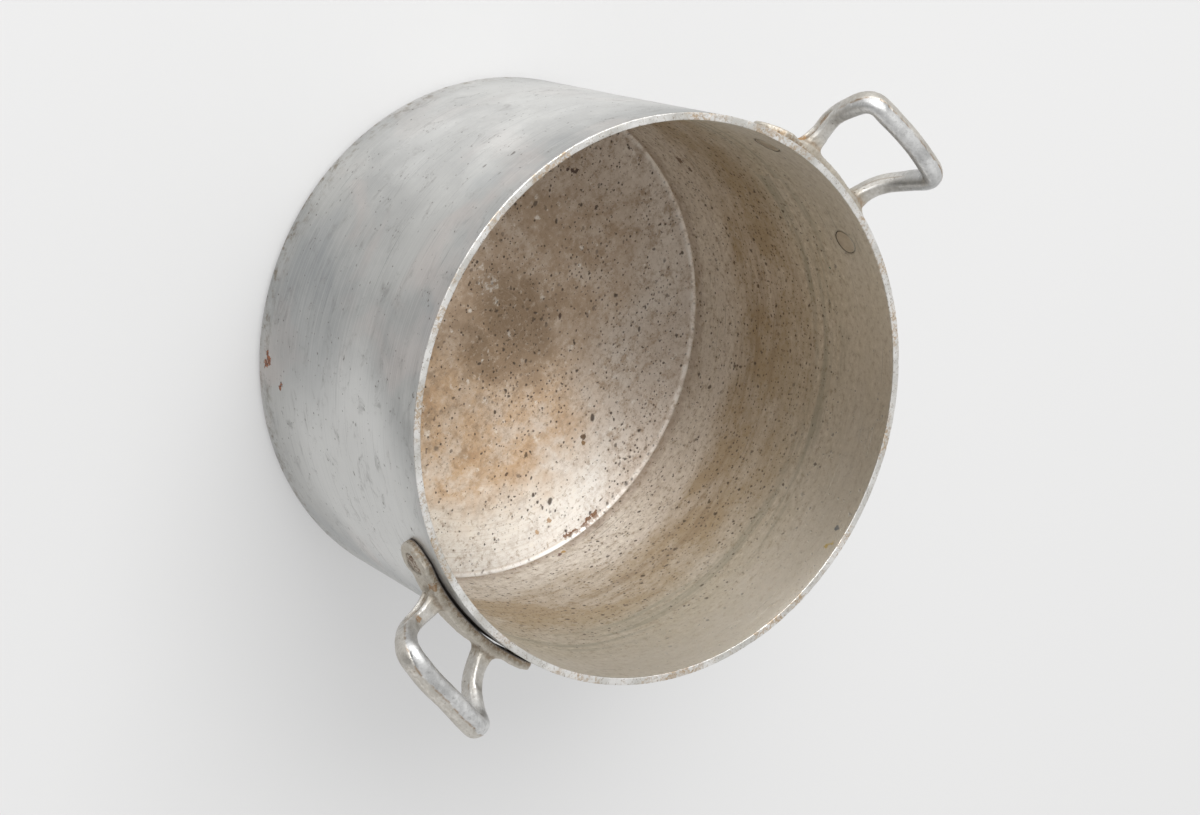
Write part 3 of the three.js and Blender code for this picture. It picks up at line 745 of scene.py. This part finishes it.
# ---- rivets ----
def rivet(name, side, turn, material):
    """A flush head that follows the wall inside, a shank, and a low hammered end in the flange's dimple."""
    inner = RIVET_WALL - WALL
    lobe_face = RIVET_WALL + stand_off(FLANGE_FACE, RIVET_ANGLE)
    seat = lobe_face - DIMPLE_DEPTH + 0.3
    head = [(inner + 0.02, r) for r in (1.4, 2.8, 4.2, 5.4, 6.4)]
    head += [(inner + 0.03, 6.95), (inner + 0.12, 7.14), (inner + 0.3, HEAD_RADIUS), (inner + 0.8, HEAD_RADIUS)]
    shank = [(inner + HEAD_DEPTH, SHANK_RADIUS), (seat, SHANK_RADIUS)]
    tail = [(seat + 0.02, TAIL_RADIUS - 0.3), (seat + 0.25, TAIL_RADIUS), (seat + 0.6, TAIL_RADIUS - 0.25),
            (seat + 0.9, 4.9), (seat + 1.05, 3.6), (seat + 1.15, 2.2), (seat + 1.2, 0.9)]
    points, faces = lathe(head + shank + tail)
    spread = np.hypot(points[:, 1], points[:, 2])
    sag = inner - np.sqrt(inner**2 - points[:, 1] ** 2)
    lean = (RIM_RADIUS - BASE_RADIUS) / POT_HEIGHT * points[:, 2]
    on_head = points[:, 0] < inner + 0.5
    points[:, 0] += np.where(on_head, lean - sag, 0)
    random = np.random.default_rng(int(100 + 10 * side + turn))
    blows = random.uniform(-4, 4, (7, 2))
    on_tail = points[:, 0] > seat + 0.1
    for y, z in blows:
        reach = np.hypot(points[:, 1] - y, points[:, 2] - z)
        points[:, 0] -= np.where(on_tail, 0.22 * np.exp(-((reach / 1.5) ** 2)), 0)
        points[:, 0] += np.where(on_head & (spread < 6.9), 0.03 * np.exp(-((reach / 2.2) ** 2)), 0)
    thing = mesh_object(name, place_at_rivet(points, side, turn), faces, [material])
    thing.data.set_sharp_from_angle(angle=math.radians(50))
    return thing


# ---- handles, worked out as a distance field and turned into a mesh ----
FOOT = (162, 23.4, -20)
LEG_AIM = (180.2, 23.4, -13.8)
CLIMB_AIM = (184.7, 29.3, -18.1)
CORNER = (201.5, 33.4, 14.3)
CORNER_SKEW = (0.8, -0.8, -2.2)
LEG_CUT, GRIP_CUT = 10, 9
GRIP_BOW = 1.6
FOOT_TILT, GRIP_TILT = 27, 45
LEG_SIZE = (9.4, 10.8)
GRIP_SIZE = (11.6, 14.4)
ROOT_FLARE = 1.4
GRID_CORNER, GRID_SIZE = (147.0, -58.0, 150.0), (66.0, 116.0, 66.0)  # the box that the field is read in


def stand_off(pair, angle):
    """Distance of a flange surface from the wall, at an angle round the pot from the handle's middle."""
    middle, ends = pair
    share = (1 - np.cos(angle)) / (1 - math.cos(FLANGE_END))
    return middle + (ends - middle) * share


def bezier(points, count):
    share = np.linspace(0, 1, count)[:, None]
    points = [np.asarray(p, float) for p in points]
    while len(points) > 1:
        points = [a * (1 - share) + b * share for a, b in zip(points, points[1:])]
    return points[0]


def half_loop(side):
    """Middle line of one half of the loop, from its foot to the middle of the grip."""
    at = lambda point: np.array([point[0], side * point[1], POT_HEIGHT + point[2]])
    corner = at(CORNER) + [side * CORNER_SKEW[0], CORNER_SKEW[1], side * CORNER_SKEW[2]]
    lean = math.radians(GRIP_TILT)
    middle = np.array([CORNER[0] + GRIP_BOW * math.cos(lean), CORNER_SKEW[1],
                       POT_HEIGHT + CORNER[2] + GRIP_BOW * math.sin(lean)])
    towards = lambda aim, length: corner + (aim - corner) * length / np.linalg.norm(aim - corner)
    leg_end, grip_end = towards(at(CLIMB_AIM), LEG_CUT), towards(middle, GRIP_CUT)
    level = np.array([middle[0], (middle[1] + grip_end[1]) / 2, middle[2]])
    return np.vstack([bezier([at(FOOT), at(LEG_AIM), at(CLIMB_AIM), leg_end], 60),
                      bezier([leg_end, corner, grip_end], 26)[1:],
                      bezier([grip_end, level, middle], 30)[1:]])


def loop_line(count=190):
    """Even points along the whole loop, with the frame and the section of the bar at each."""
    line = np.vstack([half_loop(1), half_loop(-1)[::-1][1:]])
    travelled = np.concatenate([[0], np.cumsum(np.linalg.norm(np.diff(line, axis=0), axis=1))])
    even = np.linspace(0, travelled[-1], count)
    line = np.stack([np.interp(even, travelled, line[:, i]) for i in range(3)], 1)
    ahead = np.gradient(line, axis=0)
    ahead /= np.linalg.norm(ahead, axis=1)[:, None]
    from_foot = 1 - np.abs(2 * np.linspace(0, 1, count) - 1)
    lean = np.radians(FOOT_TILT + (GRIP_TILT - FOOT_TILT) * smooth_step(from_foot, 0, 0.5))
    across = np.stack([-np.sin(lean), 0 * lean, np.cos(lean)], 1)
    across -= ahead * (across * ahead).sum(1)[:, None]
    across /= np.linalg.norm(across, axis=1)[:, None]
    sideways = np.cross(ahead, across)
    grip = smooth_step(from_foot, 0.3, 0.75)
    flare = ROOT_FLARE + (1 - ROOT_FLARE) * smooth_step(from_foot, 0, 0.2)
    return {
        "line": line, "sideways": sideways, "across": across, "from_foot": from_foot,
        "half_width": (LEG_SIZE[0] + (GRIP_SIZE[0] - LEG_SIZE[0]) * grip) / 2 * flare,
        "half_depth": (LEG_SIZE[1] + (GRIP_SIZE[1] - LEG_SIZE[1]) * grip) / 2,
        "power": 2 / (0.7 + 0.22 * grip),
    }


def soft_union(a, b, radius):
    gap = np.maximum(radius - np.abs(a - b), 0) / radius
    return np.minimum(a, b) - gap * gap * radius / 4


def soft_cut(a, b, radius):
    """Keeps what is inside both a and b."""
    return -soft_union(-a, -b, radius)


def bar_field(points, loop):
    """Distance to the loop's bar, the share of the way from foot to grip, and where its seam and rough land are."""
    nearest = np.empty(len(points), int)
    for start in range(0, len(points), 40000):
        part = points[start:start + 40000].astype(np.float32)
        line = loop["line"].astype(np.float32)
        square = (part**2).sum(1)[:, None] + (line**2).sum(1)[None] - 2 * part @ line.T
        nearest[start:start + 40000] = square.argmin(1)
    offset = points - loop["line"][nearest]
    side = (offset * loop["sideways"][nearest]).sum(1)
    lift = (offset * loop["across"][nearest]).sum(1)
    width, depth, power = (loop[key][nearest] for key in ("half_width", "half_depth", "power"))
    from_foot = loop["from_foot"][nearest]
    shape = ((np.abs(side) / width) ** power + (np.abs(lift) / depth) ** power) ** (1 / power)
    length = np.hypot(side, lift)
    field = length - length / np.maximum(shape, 1e-6)
    # the grip's outward side stands a little proud below the casting seam, which wanders and is chipped
    outward = smooth_step(-side, 0.35 * width, 0.8 * width)
    seam_at = 2.3 + 0.35 * ripples(points, 17, 31) + 0.15 * ripples(points, 4, 32)
    proud = outward * smooth_step(seam_at - lift, -0.15, 0.35) * smooth_step(from_foot, 0.35, 0.55)
    seam = outward * np.exp(-(((lift - seam_at) / 0.45) ** 2)) * smooth_step(from_foot, 0.3, 0.5)
    field += 0.22 * (outward - proud) * smooth_step(from_foot, 0.35, 0.55)
    field += seam * 0.35 * smooth_step(ripples(points, 6, 33), 0.3, 1.2)
    # each leg has a flat top, and a narrow flute on its outer side that runs out up the leg
    leg = 1 - smooth_step(from_foot, 0.26, 0.42)
    field = np.maximum(field, np.where(leg > 0, lift - depth * (1.12 - 0.26 * leg), -99))
    flute = np.hypot(side + width * 1.12, (lift - 0.3) * 0.8) - 2.2 * leg
    field = np.where(leg > 0.02, soft_cut(field, -flute, 0.25), field)
    # a thin fin along the inner side of each leg, with dirt under it
    on_leg = smooth_step(from_foot, 0.04, 0.1) * (1 - smooth_step(from_foot, 0.38, 0.5))
    inner_side = smooth_step(side, 0.5 * width, 0.85 * width) * on_leg
    field -= 0.28 * inner_side * np.exp(-(((lift - 2.2) / 0.45) ** 2))
    seam = np.maximum(seam, 0.8 * inner_side * np.exp(-(((lift - 1.4) / 0.4) ** 2)))
    return field, from_foot, seam, proud


def flange_field(points):
    """Distance to the flange: two round lobes and a strap, bent a little tighter than the wall."""
    angle = np.arctan2(points[:, 1], points[:, 0])
    around = np.sin(angle) * RIVET_WALL
    rise = points[:, 2] - RIVET_Z
    off_wall = np.hypot(points[:, 0], points[:, 1]) - wall_radius(points[:, 2])
    lobe = np.hypot(np.abs(around) - LOBE_AT, rise) - LOBE_RADIUS
    strap = np.maximum(np.abs(around) - LOBE_AT, np.maximum(rise - LOBE_RADIUS, -8 - rise))
    outline = soft_union(lobe, strap, 5)
    # each lobe swells into a boss round its rivet, with a waist between it and the leg
    boss = 0.35 * np.exp(-(((np.hypot(np.abs(around) - LOBE_AT, rise) - 8.6) / 2.0) ** 2))
    waist = 0.7 * np.exp(-(((np.abs(around) - 34) / 3.2) ** 2))
    outer = off_wall - stand_off(FLANGE_FACE, angle) - boss + waist
    inner = stand_off(FLANGE_GAP, angle) - off_wall
    return soft_cut(outer, outline, 1.5), inner


def handle_field(points, loop):
    bar, *marks = bar_field(points, loop)
    flange, inner = flange_field(points)
    corner = np.exp(-(((bar - flange) / 2.0) ** 2))
    field = soft_union(bar, flange, 4.0)
    field = soft_cut(field, inner, 0.5)
    for side in (-1, 1):
        axis = np.array([math.cos(RIVET_ANGLE), side * math.sin(RIVET_ANGLE), 0])
        local = points - [0, 0, RIVET_Z]
        along = local @ axis
        spread = np.linalg.norm(local - along[:, None] * axis, axis=1)
        lobe_face = RIVET_WALL + stand_off(FLANGE_FACE, RIVET_ANGLE)
        floor = lobe_face - DIMPLE_DEPTH
        bowl = np.maximum(floor - along, (spread - DIMPLE_RADIUS - 0.4 * (along - lobe_face)) * 0.93)
        field = soft_cut(field, -np.where(along > 0, bowl, 99), 0.8)
        field = np.maximum(field, np.where(along > 0, SHANK_RADIUS + RIVET_GAP - spread, -99))
    return field, [*marks, corner, -inner]


def surface_net(values, origin, step):
    """Points and quads of the zero surface of a grid of values, with one point in each cell that it crosses."""
    inside = values < 0
    corners = [(i, j, k) for i in (0, 1) for j in (0, 1) for k in (0, 1)]
    nx, ny, nz = (n - 1 for n in values.shape)
    at = lambda grid, c: grid[c[0]:c[0] + nx, c[1]:c[1] + ny, c[2]:c[2] + nz]
    count = sum(at(inside, c).astype(int) for c in corners)
    cells = np.argwhere((count > 0) & (count < 8))
    number = np.full((nx, ny, nz), -1)
    number[tuple(cells.T)] = np.arange(len(cells))
    total, crossings = np.zeros((len(cells), 3)), np.zeros(len(cells))
    for a in corners:
        for axis in range(3):
            if a[axis] == 1:
                continue
            b = tuple(1 if i == axis else a[i] for i in range(3))
            va, vb = (values[tuple((cells + c).T)] for c in (a, b))
            crossed = (va < 0) != (vb < 0)
            share = np.where(crossed, va / np.where(crossed, va - vb, 1), 0)
            spot = cells + np.array(a) + share[:, None] * np.eye(3)[axis]
            total += np.where(crossed[:, None], spot, 0)
            crossings += crossed
    points = origin + step * total / crossings[:, None]
    quads = []
    for axis in range(3):
        u, v = [i for i in range(3) if i != axis]
        size = values.shape[axis]
        low, high = (np.take(inside, range(first, first + size - 1), axis) for first in (0, 1))
        edges = np.argwhere(low != high)
        edges = edges[(edges[:, u] > 0) & (edges[:, v] > 0)]
        edges = edges[(edges[:, u] < (nx, ny, nz)[u]) & (edges[:, v] < (nx, ny, nz)[v])]
        step_u, step_v = np.eye(3, dtype=int)[u], np.eye(3, dtype=int)[v]
        ring = [edges - step_u - step_v, edges - step_v, edges, edges - step_u]
        faces = np.stack([number[tuple(r.T)] for r in ring], 1)
        flip = low[tuple(edges.T)] == (axis != 1)
        faces[~flip] = faces[~flip][:, ::-1]
        quads.append(faces)
    return points, np.vstack(quads)


def sculpt_handle(step=0.6, block=4):
    """The handle's mesh: the field is read on a coarse grid first, and finely only near the surface."""
    loop = loop_line()
    origin = np.array(GRID_CORNER)
    blocks = np.ceil(np.array(GRID_SIZE) / (step * block)).astype(int)
    coarse_at = (np.indices(blocks).reshape(3, -1).T + 0.5) * step * block + origin
    coarse, _ = handle_field(coarse_at, loop)
    coarse = coarse.reshape(blocks)
    fine = np.repeat(np.repeat(np.repeat(coarse, block, 0), block, 1), block, 2)
    near = np.abs(fine) < step * block * 1.6
    index = np.argwhere(near)
    points = origin + index * step
    fine[near] = handle_field(points, loop)[0]
    points, quads = surface_net(fine, origin, step)
    for _ in range(3):
        field, marks = handle_field(points, loop)
        slope = np.stack([handle_field(points + np.eye(3)[i] * 0.1, loop)[0] - field for i in range(3)], 1) / 0.1
        move = field[:, None] * slope / np.maximum((slope**2).sum(1), 0.2)[:, None]
        points = points - np.clip(move, -0.3, 0.3)
    return points, quads, marks


def curvature(points, quads, rounds=3):
    """How much the surface bends at each point: positive on ridges, negative in hollows, about -1 to 1."""
    a, b = quads, np.roll(quads, -1, 1)
    starts, ends = np.concatenate([a.ravel(), b.ravel()]), np.concatenate([b.ravel(), a.ravel()])
    degree = np.bincount(starts, minlength=len(points)).astype(float)

    def average(values):
        summed = np.stack([np.bincount(starts, values[ends, i], len(points)) for i in range(values.shape[1])], 1)
        return summed / degree[:, None]

    face_normal = np.cross(points[quads[:, 2]] - points[quads[:, 0]], points[quads[:, 3]] - points[quads[:, 1]])
    normal = np.stack([np.bincount(quads.ravel(), np.repeat(face_normal[:, i], 4), len(points)) for i in range(3)], 1)
    normal /= np.linalg.norm(normal, axis=1)[:, None]
    smoothed = points
    for _ in range(rounds):
        smoothed = average(smoothed)
    bend = ((points - smoothed) * normal).sum(1)[:, None]
    for _ in range(2):
        bend = average(bend)
    return bend[:, 0], normal


def handle(name, shape, turn, seed, material, pulled):
    """One handle's object; pulled says how far its own two grip corners are bent from the common casting."""
    points, quads, (from_foot, seam, proud, corner, from_wall_side) = shape
    bend, normal = curvature(points, quads)
    off_wall = np.hypot(points[:, 0], points[:, 1]) - wall_radius(points[:, 2])
    handled = smooth_step(off_wall, 8.5, 17) * (0.55 + 0.45 * smooth_step(from_foot, 0.25, 0.6))
    handled *= 1 - 0.55 * proud
    rough = 0.045 * ripples(points, 3.6, seed) + 0.035 * ripples(points, 1.9, seed + 1)
    dented = 0.07 * ripples(points, 15, seed + 2)
    fit = smooth_step(off_wall, 1.5, 3.0)
    moved = points + normal * (fit * (rough * (1 - 0.85 * handled) + dented))[:, None]
    for side, pull in pulled.items():
        share = smooth_step(from_foot, 0.08, 0.6) * smooth_step(side * points[:, 1], -18, 26)
        moved = moved + share[:, None] * np.array(pull)
    # small chips knocked out of the grip
    random = np.random.default_rng(seed + 3)
    grip = np.flatnonzero((from_foot > 0.4) & (normal[:, 0] > 0.1))
    for at in random.choice(grip, 26):
        reach = np.linalg.norm(points - points[at], axis=1) / random.uniform(0.5, 1.1)
        moved -= normal * (random.uniform(0.15, 0.4) * np.exp(-(reach**2)))[:, None]
    spin = np.array(Matrix.Rotation(turn, 3, "Z"))
    thing = mesh_object(name, moved @ spin.T, quads.tolist(), [material])
    scale = np.percentile(np.abs(bend), 97)
    marks = {"curve": np.clip(bend / scale, -1, 1), "handled": handled, "seam": seam, "corner": corner,
             "from_gap": from_wall_side}
    for key, values in marks.items():
        layer = thing.data.attributes.new(key, "FLOAT", "POINT")
        layer.data.foreach_set("value", values.astype(np.float32))
    return thing


# ---- build the object ----
body = body_mesh([outside_wall(), rim_metal(), inside_wall(), inside_floor(), underside()])
cut_rivet_holes(body)
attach(body, "root")
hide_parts("pot_shell")

shape = sculpt_handle()
rivets = rivet_metal()
HANDLES = {
    "right": dict(turn=0, seed=40, pulled={-1: (1.6, -1.4, -1.0), 1: (1.6, 1.3, 0.4)},
                  stains=[((162.5, -33, 177), 2.6), ((180, -29, 181), 2.4)]),
    "left": dict(turn=math.pi, seed=50, pulled={1: (-1.3, -1.1, 0.4)},
                 stains=[((-166, -29, 170), 2.6), ((-168, -27, 173), 2.0)]),
}
for side_name, own in HANDLES.items():
    turn, seed = own["turn"], own["seed"]
    metal = cast_metal(f"cast_aluminium_{side_name}", (0.1 * seed, 0.3, 0.2), own["stains"])
    piece = handle(f"loop_handle_{side_name}", shape, turn, seed, metal, own["pulled"])
    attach(piece, "root")
    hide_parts(f"handle_{side_name}")
    for place, side in [("front", -math.cos(turn)), ("back", math.cos(turn))]:
        piece = rivet(f"rivet_{side_name}_{place}_worn", round(side), turn, rivets)
        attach(piece, "root")
        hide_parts(f"rivet_{side_name}_{place}")


# ---- studio ----
def floor_paint():
    paint = Paint("studio_floor")
    paint.colour = paint.blend(paint.noise(3.0), (0.31, 0.31, 0.31), (0.32, 0.319, 0.317))
    paint.shader.inputs["Emission Color"].default_value = (1, 1, 1, 1)
    paint.shader.inputs["Emission Strength"].default_value = 0.385  # the sweep's own glow keeps the shadow pale
    return paint.finish(0.9, metallic=0.0)


corners = [(x * 1000, y * 1000, -0.02) for x, y in [(-14, -14), (14, -14), (14, 14), (-14, 14)]]
floor = mesh_object("studio_floor", corners, [[0, 1, 2, 3]], [floor_paint()])

scene = bpy.context.scene
scene.view_settings.view_transform = "Standard"

DARK_SIDE = Vector((0.745, -0.667, 0.0))  # the unlit side of the room, which the near wall mirrors
TOWARDS_CAMERA = Vector((0.2199, -0.5502, 0.8056))


def softbox(name, direction, distance, size, power):
    light = bpy.data.lights.new(name, "AREA")
    light.shape = "RECTANGLE"
    light.size, light.size_y = size
    light.energy = power
    lamp = bpy.data.objects.new(name, light)
    lamp.location = Vector((0, 0, 0.1)) + direction.normalized() * distance
    lamp.rotation_euler = direction.to_track_quat("Z", "Y").to_euler()
    lamp.visible_camera = False
    scene.collection.objects.link(lamp)


# the key light hangs off the pot's front left, low enough to light the far wall inside
softbox("key", Vector((-0.50, -0.55, 0.80)), 3.4, (3.0, 3.0), 125)
softbox("upper_strip", Vector((-0.42, -0.90, 0.0)), 3.0, (1.6, 0.5), 24)
softbox("lower_fill", Vector((0.96, 0.28, 0.0)), 3.0, (1.4, 0.5), 12)

world = bpy.data.worlds.new("studio")
scene.world = world
world.use_nodes = True
nodes, links = world.node_tree.nodes, world.node_tree.links
direction = nodes.new("ShaderNodeTexCoord").outputs["Generated"]
towards = nodes.new("ShaderNodeVectorMath")
towards.operation = "DOT_PRODUCT"
links.new(direction, towards.inputs[0])
towards.inputs[1].default_value = DARK_SIDE
ramp = nodes.new("ShaderNodeMapRange")
for name, number in {"From Min": 0.35, "From Max": 0.95, "To Min": 0.87, "To Max": 0.10}.items():
    ramp.inputs[name].default_value = number
links.new(towards.outputs["Value"], ramp.inputs["Value"])
links.new(ramp.outputs["Result"], nodes["Background"].inputs["Strength"])
nodes["Background"].inputs["Color"].default_value = (1, 1, 1, 1)


# ---- camera ----
camera_data = bpy.data.cameras.new("camera")
camera_data.sensor_width = 36
camera_data.lens = 111.16
camera_data.clip_end = 60
camera = bpy.data.objects.new("camera", camera_data)
right, up, back = Vector((-0.6218, 0.5573, 0.5503)), Vector((-0.7517, -0.6219, -0.2195)), Vector(TOWARDS_CAMERA)
turn = Matrix((right, up, back)).transposed().to_4x4()
camera.matrix_world = Matrix.Translation((0.4705, -1.1346, 1.8043)) @ turn
scene.collection.objects.link(camera)
scene.camera = camera
